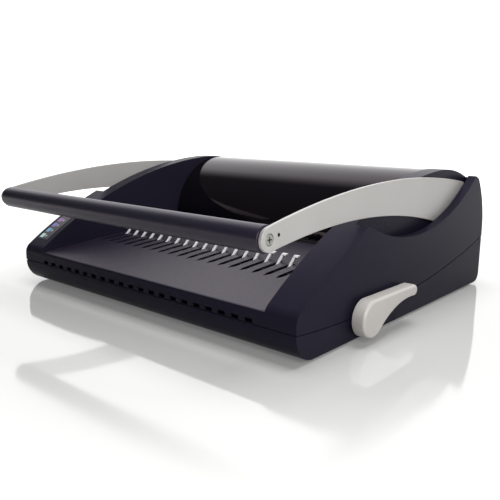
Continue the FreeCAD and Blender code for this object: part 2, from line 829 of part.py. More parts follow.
def arm(label, side):
    """Curved flat arm of the handle: round tip on the bar, hub on the shaft."""
    body = new_body(label)
    inner, outer = across(arm_inner * side, arm_outer * side)
    pad(body, "YZ_Plane", inner, outer, arm_outline())
    faces = (arm_inner.number, arm_outer.number)
    round_edges(body, d.arm_round, lambda edge: any(side_end(edge, reach) for reach in faces))
    pocket(body, "YZ_Plane", inner, outer, circles=[(pivot_y, pivot_z, d.shaft_radius + d.running_fit)])
    pocket(body, "YZ_Plane", inner, outer,
           circles=[(d.bar_y, bar_z, d.screw_shank_radius + d.running_fit)])
    pocket(body, "YZ_Plane", inner, outer,
           circles=[(d.bar_y + d.dowel_y, bar_z + d.dowel_z, d.dowel_radius)])
    seat, face = across(screw_seat * side, arm_outer * side)
    pocket(body, "YZ_Plane", seat, face,
           circles=[(d.bar_y, bar_z, d.screw_head_radius + d.slide_clearance)])


def handle_bar():
    """Steel rod between the arms, tapped at both ends."""
    body = new_body("handle_bar")
    pad(body, "YZ_Plane", -arm_inner, arm_inner, circles=[(d.bar_y, bar_z, d.bar_core_radius)])
    hole = pocket(body, "YZ_Plane", arm_inner - d.tapped_depth, arm_inner,
                  circles=[(d.bar_y, bar_z, d.screw_shank_radius + d.running_fit)])
    mirror(body, hole)


def grip_sleeve():
    """Matt round sleeve over the bar, with rounded ends."""
    body = new_body("grip_sleeve")
    reach = arm_inner - d.slide_clearance
    pad(body, "YZ_Plane", -reach, reach, circles=[(d.bar_y, bar_z, d.grip_radius)])
    round_edges(body, d.grip_round, lambda edge: side_end(edge, reach.number))
    pocket(body, "YZ_Plane", -half, half, circles=[(d.bar_y, bar_z, d.bar_core_radius + d.running_fit)])


def side_end(edge, reach):
    return lies_on(edge, "x", reach) or lies_on(edge, "x", -reach)


def arm_screws():
    """Two round-headed screws through the arms into the bar."""
    body = new_body("arm_screws")
    centre = (d.bar_y, bar_z)
    tip = screw_seat + d.screw_head_height
    head = pad(body, "YZ_Plane", screw_seat, tip, circles=[(*centre, d.screw_head_radius)])
    shank = pad(body, "YZ_Plane", arm_inner - d.screw_grip, screw_seat,
                circles=[(*centre, d.screw_shank_radius)])
    mirror(body, head, shank)
    round_edges(body, d.screw_head_height / 2, lambda edge: side_end(edge, tip.number))


def handle_shaft():
    """Steel shaft that both arms and both drive pinions are keyed to."""
    body = new_body("handle_shaft")
    pad(body, "YZ_Plane", -arm_outer, arm_outer, circles=[(pivot_y, pivot_z, d.shaft_radius)])


# Form of the gear teeth; the last two count in modules.
PRESSURE_ANGLE = math.radians(20)
FLANK_STEPS = 3
DEDENDUM = 1.25
TOOTH_EMBED = 0.2


def involute(angle):
    return math.tan(angle) - angle


def tooth_outline(teeth, foot_radius):
    """One gear tooth that points up, with involute flanks thinned by the backlash."""
    module = d.gear_module.number
    pitch_radius = module * teeth / 2
    base_radius = pitch_radius * math.cos(PRESSURE_ANGLE)
    tip_radius = pitch_radius + module
    thickness = math.pi * module / 2 - d.gear_backlash.number
    half_angle = thickness / (2 * pitch_radius) + involute(PRESSURE_ANGLE)
    start = max(base_radius, foot_radius)
    radii = [start + (tip_radius - start) * step / FLANK_STEPS for step in range(FLANK_STEPS + 1)]
    flank = [(radius, half_angle - involute(math.acos(base_radius / radius))) for radius in radii]
    flank.insert(0, (foot_radius, flank[0][1]))
    right = [(radius * math.sin(turn), radius * math.cos(turn)) for radius, turn in flank]
    return right + [(-u, v) for u, v in reversed(right)]


def pinion(label, teeth, x, y, z, bore):
    """Spur pinion, keyed to its shaft."""
    body = new_body(label, x, y, z)
    side = d.gear_face / 2
    root_radius = d.gear_module * (teeth / 2 - DEDENDUM)
    pad(body, "YZ_Plane", -side, side, circles=[(0, 0, root_radius)])
    foot_radius = root_radius.number - d.gear_module.number * TOOTH_EMBED
    tooth = pad(body, "YZ_Plane", -side, side, tooth_outline(teeth.number, foot_radius))
    ring = body.newObject("PartDesign::PolarPattern", "PolarPattern")
    ring.Originals = [tooth]
    ring.Axis = (origin_feature(body, "X_Axis"), [""])
    ring.Angle = 360
    bind(ring, "Occurrences", teeth)
    body.Tip = ring
    pocket(body, "YZ_Plane", -side, side, circles=[(0, 0, bore + d.running_fit)])


def rack_teeth(body, x0, x1, y, pitch_z, before, after):
    """Straight-flanked teeth that hang under a rack; a gap stands right over the pinion."""
    pitch = d.gear_module.number * math.pi
    teeth_before = int(before.number // pitch)
    teeth_after = int(after.number // pitch)
    first = y - pitch * (teeth_before - 0.5)
    thin = d.gear_module.number * math.pi / 2 - d.gear_backlash.number
    spread = math.tan(PRESSURE_ANGLE)
    deep = d.gear_module * DEDENDUM
    tip_half = thin / 2 - d.gear_module * spread
    root_half = thin / 2 + deep * spread
    tooth = pad(body, "YZ_Plane", x0, x1, [
        (first - tip_half, pitch_z - d.gear_module),
        (first + tip_half, pitch_z - d.gear_module),
        (first + root_half, pitch_z + deep),
        (first - root_half, pitch_z + deep),
    ])
    repeat(body, "Y_Axis", pitch, teeth_before + teeth_after, tooth)


def punch_bar():
    """Steel bar that drives all the pins; its tongues slide in the frame plates."""
    body = new_body("punch_bar")
    reach = frame_inner - d.slide_clearance
    rear = bar_front + d.punch_bar_depth
    high = d.punch_bar_height / 2
    pad(body, "YZ_Plane", -reach, reach, rectangle(bar_front, rear, d.pin_level - high, d.pin_level + high))
    tongue = d.tongue_height / 2
    pad(body, "YZ_Plane", -frame_outer, frame_outer,
        rectangle(bar_front, rear, d.pin_level - tongue, d.pin_level + tongue))


def punch_pins():
    """Row of rectangular punch pins, pushed through the die in the rest position."""
    body = new_body("punch_pins")
    wide, high = d.pin_width / 2, d.pin_height / 2
    pin = pad(body, "XZ_Plane", die_start - d.pin_reach, bar_front,
              rectangle(row_start - wide, row_start + wide, d.pin_level - high, d.pin_level + high))
    repeat_along_row(body, pin)


def punch_rack(label, side):
    """Carriage plate on the punch bar that ends in the rack over a drive pinion."""
    body = new_body(label)
    middle = gear_x * side
    x0, x1 = middle - d.carriage_thickness / 2, middle + d.carriage_thickness / 2
    pitch_z = pivot_z + drive_radius
    under = pitch_z + d.gear_module * DEDENDUM
    over = under + d.rack_height
    top = d.pin_level + d.punch_bar_height / 2
    rear = bar_front + d.punch_bar_depth
    rack_start = pivot_y - d.rack_front
    pad(body, "YZ_Plane", x0, x1, [
        (bar_front + d.carriage_setback, top),
        (rear, top),
        (rear, top + d.punch_bar_depth),
        (rack_start, under),
        (pivot_y + d.rack_rear, under),
        (pivot_y + d.rack_rear, over),
        (rack_start - d.rack_height, over),
        (bar_front + d.carriage_setback, top + d.punch_bar_depth),
    ])
    rack_teeth(body, x0, x1, pivot_y, pitch_z, d.rack_front, d.rack_rear)


def lever_outline():
    """Round bulb, straight top, slim round end and hollow waist, all tangent to each other."""
    bulb = Vector(d.lever_y.number, d.lever_z.number, 0)
    tip = bulb + Vector((d.lever_length - d.lever_tip).number, d.lever_tip_rise.number, 0)
    bulb_radius, tip_radius = d.lever_bulb.number, d.lever_tip.number
    waist = d.lever_waist_radius.number
    waist_centre = meeting_point(bulb, waist + bulb_radius, tip, waist + tip_radius)
    outward = touching_line(bulb, bulb_radius, tip, tip_radius)
    points = [
        (toward(tip, waist_centre, tip_radius), -d.lever_waist_radius),
        (tip + Vector(tip_radius, 0, 0), d.lever_tip),
        (tip + outward * tip_radius, d.lever_tip),
        (bulb + outward * bulb_radius,),
        (bulb - Vector(bulb_radius, 0, 0), d.lever_bulb),
        (toward(bulb, waist_centre, bulb_radius), d.lever_bulb),
    ]
    return [(point.x, point.y, *radius) for point, *radius in points]


def comb_lever():
    """Satin side lever: a round bulb over the shaft that tapers to a slim finger end."""
    body = new_body("comb_lever")
    outer = half + d.lever_proud
    inner = outer - d.lever_thickness
    pad(body, "YZ_Plane", inner, outer, lever_outline())
    round_edges(body, d.lever_round, lambda edge: lies_on(edge, "x", outer.number))
    axis = (d.lever_y, d.lever_z)
    pad(body, "YZ_Plane", half + d.slide_clearance, inner, circles=[(*axis, d.lever_boss_radius)])
    pocket(body, "YZ_Plane", half, inner + d.lever_thickness / 2,
           circles=[(*axis, d.lever_shaft_radius + d.running_fit)])


def lever_shaft():
    """Shaft from the side lever across the base to the far bearing block."""
    body = new_body("lever_shaft")
    start = -(rake_gear_x + d.gear_face + d.block_width + d.shaft_overhang)
    end = half + d.lever_proud - d.lever_thickness / 2
    pad(body, "YZ_Plane", start, end, circles=[(d.lever_y, d.lever_z, d.lever_shaft_radius)])


def bearing_block(label, side):
    """Block on the base floor that the lever shaft turns in."""
    body = new_body(label)
    near = rake_gear_x + d.gear_face
    low, high = across(near * side, (near + d.block_width) * side)
    deep = d.block_depth / 2
    pad(body, "YZ_Plane", low, high,
        rectangle(d.lever_y - deep, d.lever_y + deep, floor_top, floor_top + d.block_height))
    pocket(body, "YZ_Plane", low, high,
           circles=[(d.lever_y, d.lever_z, d.lever_shaft_radius + d.running_fit)])


def rake_guide(label, side):
    """Ledge on the base floor that the end of the rake plate slides along."""
    body = new_body(label)
    edge = rake_half
    near, far = edge - d.guide_margin, edge + d.guide_margin
    start = d.rake_y - d.rake_travel - d.guide_margin
    end = d.rake_y + d.rake_depth + d.guide_margin
    ledge = d.rake_level - d.slide_clearance
    rail = edge + d.slide_clearance
    low, high = across(near * side, far * side)
    pad(body, "YZ_Plane", low, high, rectangle(start, end, floor_top, ledge))
    low, high = across(rail * side, far * side)
    pad(body, "YZ_Plane", low, high, rectangle(start, end, ledge, d.rake_level + d.rake_thickness))
    pocket(body, "YZ_Plane", *across(near * side, far * side),
           circles=[(d.lever_y, d.lever_z, d.lever_shaft_radius + d.slide_clearance)])


def rake_plate():
    """Sliding plate under the bed that carries all the hooks."""
    body = new_body("rake_plate")
    pad(body, "YZ_Plane", -rake_half, rake_half,
        rectangle(d.rake_y, d.rake_y + d.rake_depth, d.rake_level, d.rake_level + d.rake_thickness))


def rake_hooks():
    """Row of bright steel hooks that lean back through the bed slots, each with a sideways finger."""
    body = new_body("rake_hooks")
    lean = d.hook_lean / d.hook_rise
    foot_z = d.rake_level + d.rake_thickness
    top_z = d.hook_z + d.hook_rise
    foot_y = d.hook_y - lean * (d.hook_z - foot_z)
    top_y = d.hook_y + d.hook_lean
    neck_z = top_z - d.hook_head_height
    neck_y = top_y - lean * d.hook_head_height
    thick = d.hook_thickness / 2 * root(lean * lean + 1)
    side = d.hook_width / 2
    stem = pad(body, "YZ_Plane", row_start - side, row_start + side, [
        (foot_y - thick, foot_z),
        (foot_y + thick, foot_z),
        (top_y + thick, top_z),
        (top_y - thick, top_z),
    ])
    finger = pad(body, "YZ_Plane", row_start - side, row_start - side + d.hook_head, [
        (neck_y - thick, neck_z),
        (neck_y + thick, neck_z),
        (top_y + thick, top_z),
        (top_y - thick, top_z),
    ])
    repeat_along_row(body, stem, finger)


def rake_rack(label, side):
    """Toothed strip under the rake plate, over a pinion of the lever shaft."""
    body = new_body(label)
    middle = rake_gear_x * side
    x0, x1 = middle - d.carriage_thickness / 2, middle + d.carriage_thickness / 2
    pitch_z = d.lever_z + rake_radius
    under = pitch_z + d.gear_module * DEDENDUM
    before = d.rake_rack_end
    after = d.rake_travel + d.rake_rack_end
    pad(body, "YZ_Plane", x0, x1, rectangle(d.lever_y - before, d.lever_y + after, under, d.rake_level))
    rack_teeth(body, x0, x1, d.lever_y, pitch_z, before, after)


def chip_tray():
    """Drawer for the punched chips, pulled out at the rear by a finger scoop."""
    body = new_body("chip_tray")
    rounding = d.base_rear_radius
    drop = d.foot_height + rounding - tray_bottom
    rear_foot = d.case_depth - rounding + root(rounding * rounding - drop * drop)
    pad(body, "YZ_Plane", -tray_half, tray_half, [
        (tray_front, tray_bottom),
        (rear_foot, tray_bottom),
        (d.case_depth, d.foot_height + rounding, rounding),
        (d.case_depth, tray_top),
        (tray_front, tray_top),
    ])
    wall = d.tray_wall
    pocket(body, "XY_Plane", tray_bottom + wall, outside, rectangle(
        wall - tray_half, tray_half - wall, tray_front + wall, d.case_depth - wall - d.tray_grip_depth))
    grip = d.tray_grip_width / 2
    pocket(body, "YZ_Plane", -grip, grip, rectangle(
        d.case_depth - d.tray_grip_depth, outside, tray_bottom + wall * 2, tray_top - wall))


base_tray()
upper_cover()
comb_bed()
hood_panel()
rubber_feet()
casing_screws()
front_die_plate()
punch_guide_plate()
paper_stop()
tie_rod()
handle_bar()
grip_sleeve()
arm_screws()
handle_shaft()
punch_bar()
punch_pins()
comb_lever()
lever_shaft()
rake_plate()
rake_hooks()
chip_tray()
for side_name, side in (("left", -1), ("right", 1)):
    frame_plate(f"{side_name}_frame_plate", side)
    shaft_bush(f"{side_name}_shaft_bush", side)
    arm(f"{side_name}_arm", side)
    pinion(f"{side_name}_drive_pinion", d.drive_teeth, gear_x * side,
           pivot_y, pivot_z, d.shaft_radius)
    punch_rack(f"{side_name}_punch_rack", side)
    bearing_block(f"{side_name}_bearing_block", side)
    pinion(f"{side_name}_rake_pinion", d.rake_teeth, rake_gear_x * side,
           d.lever_y, d.lever_z, d.lever_shaft_radius)
    rake_rack(f"{side_name}_rake_rack", side)
    rake_guide(f"{side_name}_rake_guide", side)

doc.recompute()
for item in doc.Objects:
    if {"Invalid", "Error"} & set(item.State):
        owner = item.getParentGeoFeatureGroup()
        raise RuntimeError(f"{item.Label} of {owner and owner.Label} failed: {item.State}")
for body in subparts:
    if body.Shape.isNull() or not body.Shape.isValid():
        raise RuntimeError(f"{body.Label} has no valid shape")
os.makedirs("parts", exist_ok=True)
for body in subparts:
    body.Shape.exportStep(f"parts/{body.Label}.step")
    print(body.Label, len(body.Shape.Solids), round(body.Shape.Volume / 1000, 2), "cm3")
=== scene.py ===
import math

import bpy
from mathutils import Matrix, Vector


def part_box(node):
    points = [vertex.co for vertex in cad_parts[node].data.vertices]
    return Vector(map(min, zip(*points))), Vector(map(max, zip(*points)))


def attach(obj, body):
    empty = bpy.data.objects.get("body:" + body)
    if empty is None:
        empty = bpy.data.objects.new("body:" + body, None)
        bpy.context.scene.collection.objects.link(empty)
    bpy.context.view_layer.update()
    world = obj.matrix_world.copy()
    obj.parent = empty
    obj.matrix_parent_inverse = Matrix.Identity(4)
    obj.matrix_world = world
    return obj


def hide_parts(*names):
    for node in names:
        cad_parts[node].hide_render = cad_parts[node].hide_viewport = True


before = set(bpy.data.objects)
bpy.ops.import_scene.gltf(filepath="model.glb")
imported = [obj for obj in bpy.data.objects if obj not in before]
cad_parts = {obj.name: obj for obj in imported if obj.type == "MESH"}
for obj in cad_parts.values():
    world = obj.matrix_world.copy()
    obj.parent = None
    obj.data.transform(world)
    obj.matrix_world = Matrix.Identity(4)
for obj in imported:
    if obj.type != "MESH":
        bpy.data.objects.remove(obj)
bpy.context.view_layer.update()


# Base of the casing.
# The lower half of the housing, an open tray of moulded ABS with a round heel along its front.
# Its rim follows the curved seam, and four screws from below hold it to the upper shell.
base_low, base_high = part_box("base_tray")
casing_middle = (base_low.x + base_high.x) / 2
casing_front = base_low.y
half_width, depth, wall = 186, 336, 3
side_round = 4.5
seam_radius, seam_gap = 968, 0.9
seam_middle_y, seam_middle_z = 92.21, 989.08
tongue_outside, tongue_inside = 0.9, 2.5
tongue_low, tongue_high = -0.44, 0.4
lever_y, lever_z, lever_hole_radius = 84, 21, 5.3


def at(x, y, z):
    """A place in millimetres from the middle of the casing's front edge, on the table."""
    return Vector((casing_middle + x / 1000, casing_front + y / 1000, z / 1000))


def seam(y):
    """Height of the curved seam between the two halves of the casing."""
    return seam_middle_z - math.sqrt(seam_radius**2 - (y - seam_middle_y) ** 2)


def traced(corners, step=1.5):
    """Points round an outline. (y, z) ends a straight run, and (y, z, radius) an arc, which turns
    left where its radius is positive and right where it is negative."""
    points = []
    for before, corner in zip(corners[-1:] + corners[:-1], corners):
        start, end = Vector(before[:2]), Vector(corner[:2])
        if len(corner) == 3:
            radius, chord = corner[2], end - start
            rise = math.sqrt(max(radius**2 - chord.length_squared / 4, 0))
            side = math.copysign(1, radius)
            centre = (start + end) / 2 + Vector((-chord.y, chord.x)).normalized() * rise * side
            sweep = side * 2 * math.asin(min(chord.length / 2 / abs(radius), 1))
            count = max(int(abs(radius * sweep) / step), 6)
            turns = [Matrix.Rotation(sweep * i / count, 2) for i in range(1, count)]
            points += [centre + turn @ (start - centre) for turn in turns]
        points.append(end)
    return points


def oblong(y_from, y_to, z_from, z_to):
    """The four corners of an upright rectangle."""
    return [(y_from, z_from), (y_to, z_from), (y_to, z_to), (y_from, z_to)]


def choose(piece):
    """Makes this piece the only one that the next operators act on."""
    bpy.ops.object.select_all(action="DESELECT")
    piece.select_set(True)
    bpy.context.view_layer.objects.active = piece


def plate(name, corners, x_from, x_to, step=1.5):
    """A solid with one outline right across the machine, from one x to another."""
    points = traced(corners, step)
    bpy.ops.object.select_all(action="DESELECT")
    bpy.ops.mesh.primitive_circle_add(vertices=len(points), fill_type="NGON")
    piece = bpy.context.object
    piece.name = piece.data.name = name
    for vertex, (y, z) in zip(piece.data.vertices, points):
        vertex.co = at(x_from, y, z)
    bpy.ops.object.mode_set(mode="EDIT")
    bpy.ops.mesh.select_all(action="SELECT")
    bpy.ops.mesh.extrude_region_move(TRANSFORM_OT_translate={"value": ((x_to - x_from) / 1000, 0, 0)})
    bpy.ops.mesh.select_all(action="SELECT")
    bpy.ops.mesh.normals_make_consistent(inside=False)
    bpy.ops.object.mode_set(mode="OBJECT")
    return piece


def disc(name, y, z, radius, x_from, x_to, step=0.8):
    """A round plate or pin whose axis runs across the machine."""
    return plate(name, [(y + radius, z, radius), (y - radius, z, radius)], x_from, x_to, step)


def combine(piece, tool, operation="DIFFERENCE"):
    """Cuts the tool out of the piece, or adds it, and takes the tool away."""
    modifier = piece.modifiers.new("combine", "BOOLEAN")
    modifier.operation, modifier.object, modifier.solver = operation, tool, "EXACT"
    choose(piece)
    bpy.ops.object.modifier_apply(modifier="combine")
    bpy.data.objects.remove(tool)


def join(piece, *others):
    """Makes the other pieces part of this one, each still a closed body."""
    choose(piece)
    for other in others:
        other.select_set(True)
    bpy.ops.object.join()


def round_edges(piece, radius, chosen, segments=4):
    """Rounds the sharp edges whose middle passes the test, which is given x, y and z."""
    sharp = math.radians(25)
    choose(piece)
    bpy.ops.object.mode_set(mode="EDIT")
    bpy.ops.mesh.select_mode(type="EDGE")
    bpy.ops.mesh.select_all(action="DESELECT")
    bpy.ops.mesh.edges_select_sharp(sharpness=sharp)
    bpy.ops.object.mode_set(mode="OBJECT")
    places = [(vertex.co - at(0, 0, 0)) * 1000 for vertex in piece.data.vertices]
    for face in piece.data.polygons:
        face.select = False
    for edge in piece.data.edges:
        first, second = edge.vertices
        edge.select = edge.select and chosen(*(places[first] + places[second]) / 2)
    bpy.ops.object.mode_set(mode="EDIT")
    bpy.ops.mesh.bevel(offset=radius / 1000, segments=segments, affect="EDGES", clamp_overlap=True)
    bpy.ops.object.mode_set(mode="OBJECT")


def smooth(piece, angle=35):
    """Shades curves softly, keeps flats flat and leaves the crisp edges crisp."""
    choose(piece)
    bpy.ops.object.shade_smooth_by_angle(angle=math.radians(angle))
    piece.modifiers.new("flats", "WEIGHTED_NORMAL").keep_sharp = True
    bpy.ops.object.modifier_apply(modifier="flats")


def linear(hex_colour):
    """The linear colour of an sRGB hex value."""
    parts = [int(hex_colour[i : i + 2], 16) / 255 for i in (0, 2, 4)]
    return [c / 12.92 if c <= 0.04045 else ((c + 0.055) / 1.055) ** 2.4 for c in parts] + [1]


def add_node(tree, kind, values=(), links=(), **settings):
    """Adds a node with its settings, its input values and the links into it."""
    node = tree.nodes.new(kind)
    for name, value in settings.items():
        setattr(node, name, value)
    for socket, value in dict(values).items():
        node.inputs[socket].default_value = value
    for socket, source in dict(links).items():
        tree.links.new(source, node.inputs[socket])
    return node


def new_material(name):
    """An empty node material with its name."""
    material = bpy.data.materials.new(name)
    material.use_nodes = True
    material.node_tree.nodes.clear()
    return material


def finish(name, tones, patch, grain, shine, relief, shader, run=1):
    """A surface of two tones that drift over patches, whose grain varies the shine and stands out
    as relief. Patch, grain and relief are in millimetres, and run draws the grain out along x."""
    material = new_material(name)
    tree = material.node_tree
    place = add_node(tree, "ShaderNodeTexCoord").outputs["Object"]
    drift = add_node(tree, "ShaderNodeTexNoise", {"Scale": 1000 / patch, "Detail": 3}, {"Vector": place})
    tint = add_node(
        tree,
        "ShaderNodeMix",
        {6: linear(tones[0]), 7: linear(tones[1])},
        {0: drift.outputs["Fac"]},
        data_type="RGBA",
    )
    fine = 1000 / grain
    drawn = add_node(tree, "ShaderNodeMapping", {"Scale": (fine / run, fine, fine)}, {"Vector": place})
    speck = add_node(tree, "ShaderNodeTexNoise", {"Scale": 1, "Detail": 2}, {"Vector": drawn.outputs[0]})
    gloss = add_node(
        tree, "ShaderNodeMapRange", {1: 0.3, 2: 0.7, 3: shine[0], 4: shine[1]}, {0: speck.outputs["Fac"]}
    )
    bumps = add_node(
        tree,
        "ShaderNodeBump",
        {"Strength": 0.2, "Distance": relief / 1000},
        {"Height": speck.outputs["Fac"]},
    )
    skin = add_node(
        tree,
        "ShaderNodeBsdfPrincipled",
        shader,
        {"Base Color": tint.outputs[2], "Roughness": gloss.outputs[0], "Normal": bumps.outputs[0]},
    )
    add_node(tree, "ShaderNodeOutputMaterial", links={"Surface": skin.outputs[0]})
    return material


base = plate(
    "base_shell",
    [
        (0, 24), (22, 2, 22), (326, 2), (depth, 12, 10), (depth, seam(depth) - seam_gap / 2),
        (0, seam(0) - seam_gap / 2, -seam_radius),
    ],
    -half_width,
    half_width,
)
base_inside = plate(
    "base_inside",
    [(wall, 24), (22, 5, 19), (326, 5), (depth - wall, 12, 7), (depth - wall, 90), (wall, 90)],
    wall - half_width,
    half_width - wall,
)
combine(base, base_inside)
combine(base, plate("tray_opening", oblong(325, 345, 5, 20.9), -120.3, 120.3))
combine(base, disc("lever_hole", lever_y, lever_z, lever_hole_radius, 175, 195))
round_edges(base, side_round, lambda x, y, z: abs(x) > half_width - 0.1 and z < seam(y) - 0.6, 6)
round_edges(base, 0.4, lambda x, y, z: z > seam(y) - 0.5, 2)

# A tongue inside the rim closes the seam to the eye, and a dark sheet stands behind the lip's notches in
# place of the shade inside them.
tongue_front, tongue_rear = tongue_outside, depth - tongue_outside
tongue = plate(
    "tongue",
    [
        (tongue_front, seam(tongue_front) + tongue_low),
        (tongue_rear, seam(tongue_rear) + tongue_low, seam_radius),
        (tongue_rear, seam(tongue_rear) + tongue_high),
        (tongue_front, seam(tongue_front) + tongue_high, -seam_radius),
    ],
    tongue_outside - half_width,
    half_width - tongue_outside,
)
tongue_space = plate(
    "tongue_space",
    oblong(tongue_inside, depth - tongue_inside, 0, 120),
    tongue_inside - half_width,
    half_width - tongue_inside,
)
combine(tongue, tongue_space)
# A dark sheet put in place of the shade that fills the notches.
notch_shade_screen = plate("notch_shade_screen", oblong(8, 9, 11.6, 33.8), -153, 153)
join(base, tongue, notch_shade_screen)
smooth(base)

# Spark-eroded tool steel leaves moulded ABS with a very fine, even grain and a soft satin shine.
# The real grain is about 0.15 mm, and it is drawn at 0.8 mm so that it shows.
moulded_abs = finish(
    "moulded_abs_violet_grey",
    ("1d1b27", "22202c"),
    patch=60,
    grain=0.8,
    shine=(0.28, 0.4),
    relief=0.1,
    shader={"IOR": 1.53, "Specular IOR Level": 0.05, "Specular Tint": linear("dcc8f4")},
)
base.data.materials.append(moulded_abs)
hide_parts("base_tray")
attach(base, "casing")


# Upper shell of the casing.
# The visible half of the housing, moulded in one with the front lip, the two cheeks and the rear
# wall. A scoop and a deep pocket in each cheek clear the arms of the handle.
row_start, pitch, hook_count = -145.875, 14.2875, 21
bay = 155.5
pocket_inner, pocket_outer = 172.5, 177.5
pivot_y, pivot_z = 284, 84
bed_level, bed_slope, bed_thickness = 37.4, 0.0745, 2.5
lip_rear, lip_wall = 2.2, 1.2
bay_corner = 6


def bed_top(y):
    """Height of the bed's sloping upper face, with which the front lip is flush."""
    return bed_level + bed_slope * y


def in_row(piece):
    """Repeats a piece at every hook of the row."""
    row = piece.modifiers.new("row", "ARRAY")
    row.count, row.use_relative_offset, row.use_constant_offset = hook_count, False, True
    row.constant_offset_displace = (pitch / 1000, 0, 0)
    choose(piece)
    bpy.ops.object.modifier_apply(modifier="row")


shell = plate(
    "upper_shell",
    [
        (0, seam(0) + seam_gap / 2), (depth, seam(depth) + seam_gap / 2, seam_radius), (depth, 60),
        (316.325, 116.86, 92), (250, 128.555, 155), (4.892, 42.62, 450.011), (0, 33, 11.905),
    ],
    -half_width,
    half_width,
)
bay_space = plate(
    "bay_space",
    [
        (wall, 0), (depth - wall, 0), (depth - wall, 60), (323.66, 99.7, 89), (380, 99.7), (380, 180),
        (-20, 180), (-20, bed_top(-20)), (lip_rear, bed_top(lip_rear)),
        (lip_rear, bed_top(lip_rear) - bed_thickness), (wall, bed_top(wall) - bed_thickness),
    ],
    -bay,
    bay,
)
combine(shell, bay_space)
for side in (-1, 1):
    inner, outer = side * pocket_inner, side * pocket_outer
    combine(shell, plate("arm_scoop", [(32.1, 140), (329.9, 140, 202)], inner, side * 200))
    combine(shell, plate("arm_pocket", [(62.6, 140), (305.4, 140, 137)], inner, outer))
    combine(shell, plate("hub_pocket", oblong(230, 314, 65, 160), inner, outer))
    combine(shell, disc("swing_pocket", pivot_y, pivot_z, 34.5, inner, outer, 1.5))
    cheek_inside = plate(
        "cheek_inside",
        [
            (wall, 10), (depth - wall, 10), (depth - wall, 60), (314.447, 114.389, 89),
            (250.133, 125.558, 152), (15, 46.132, 447),
        ],
        side * (bay + wall),
        side * (pocket_inner - wall),
    )
    combine(shell, cheek_inside)
    combine(shell, disc("shaft_hole", pivot_y, pivot_z, 6.5, side * 150, side * 175))

# The lip is thin behind its row of notches, one in front of each hook.
notches = plate("notches", oblong(-4, 6, 20, 29.45), row_start - 4, row_start + 4)
in_row(notches)
combine(shell, plate("lip_inside", oblong(lip_wall, 6, 10, 32), -bay, bay))
combine(shell, notches)
combine(shell, disc("lever_hole", lever_y, lever_z, lever_hole_radius, 150, 195))
round_edges(shell, side_round, lambda x, y, z: abs(x) > half_width - 0.1 and z > seam(y) + 0.6, 6)
round_edges(shell, 1.2, lambda x, y, z: abs(abs(x) - bay) < 0.1 and z > 38 and y < 320)
round_edges(shell, 0.5, lambda x, y, z: abs(x) < bay - 1 and y < 1.5 and z > 37, 2)

# A rounded web fills each front corner of the bay, flush with the bed.
corner_rear = lip_rear + bay_corner
webs = []
for side in (-1, 1):
    web = plate(
        "bay_corner",
        [
            (lip_rear, bed_top(lip_rear) - bed_thickness),
            (corner_rear, bed_top(corner_rear) - bed_thickness),
            (corner_rear, bed_top(corner_rear)),
            (lip_rear, bed_top(lip_rear)),
        ],
        side * (bay - bay_corner),
        side * bay,
    )
    bpy.ops.object.select_all(action="DESELECT")
    bpy.ops.mesh.primitive_cylinder_add(
        vertices=64,
        radius=bay_corner / 1000,
        depth=0.03,
        location=at(side * (bay - bay_corner), corner_rear, 38),
    )
    combine(web, bpy.context.object)
    webs.append(web)
join(shell, *webs)
smooth(shell)
shell.data.materials.append(moulded_abs)
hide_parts("upper_cover")
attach(shell, "casing")


# Comb bed.
# A sloping plate of mauve-grey ABS between the cheeks, moulded with a slot for each hook and a
# pointed ramp in front of it. Clips underneath hold it in the upper shell.
bed_front, bed_rear, bed_half = 2.5, 177.5, 155.2
slot_front, slot_rear, slot_half = 75.5, 111.5, 2.7
ramp_tip, ramp_depth, ramp_point = 68.5, 1.6, 0.05
relief_front, relief_rear, relief_half, bed_skin = 62, 118, 152, 1
bed = plate(
    "comb_bed_plate",
    [
        (bed_front, bed_top(bed_front) - bed_thickness), (bed_rear, bed_top(bed_rear) - bed_thickness),
        (bed_rear, bed_top(bed_rear)), (bed_front, bed_top(bed_front)),
    ],
    -bed_half,
    bed_half,
)
round_edges(bed, bay_corner, lambda x, y, z: abs(x) > bed_half - 0.1 and y < bed_front + 0.1, 6)
slots = plate("slots", oblong(slot_front, slot_rear, 35, 60), row_start - slot_half, row_start + slot_half)
ramps = plate(
    "ramps",
    [
        (ramp_tip, bed_top(ramp_tip)), (slot_front + 0.1, bed_top(slot_front) - ramp_depth),
        (slot_front + 0.1, bed_top(slot_front) + 3), (ramp_tip, bed_top(ramp_tip) + 3),
    ],
    row_start - slot_half,
    row_start + slot_half,
)
ramp_middle = at(row_start, 0, 0).x
for vertex in ramps.data.vertices:
    if vertex.co.y < at(0, ramp_tip + 1, 0).y:
        vertex.co.x = ramp_middle + (vertex.co.x - ramp_middle) * ramp_point
for cutter in (slots, ramps):
    in_row(cutter)
    combine(bed, cutter)

# The bed is hollowed from below round its slots, so that only a thin skin shows in their sides.
hollow = plate(
    "bed_relief",
    [
        (relief_front, 20), (relief_rear, 20), (relief_rear, bed_top(relief_rear) - bed_skin),
        (relief_front, bed_top(relief_front) - bed_skin),
    ],
    -relief_half,
    relief_half,
)
combine(bed, hollow)
round_edges(bed, 0.4, lambda x, y, z: z > bed_top(y) - 0.1 and (y < 6 or abs(x) > bed_half - 0.1), 2)
smooth(bed)

# The bed's ABS has a coarser, more matt grain than the casing, drawn at 1 mm so that it shows, and
# a broad sheen that makes it look paler than the casing from low down.
bed_abs = finish(
    "grained_abs_mauve_grey",
    ("1b1823", "201c29"),
    patch=70,
    grain=1.0,
    shine=(0.4, 0.52),
    relief=0.1,
    shader={"IOR": 1.53, "Specular IOR Level": 0.5, "Specular Tint": linear("f0daee")},
)
bed.data.materials.append(bed_abs)
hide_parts("comb_bed")
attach(bed, "casing")


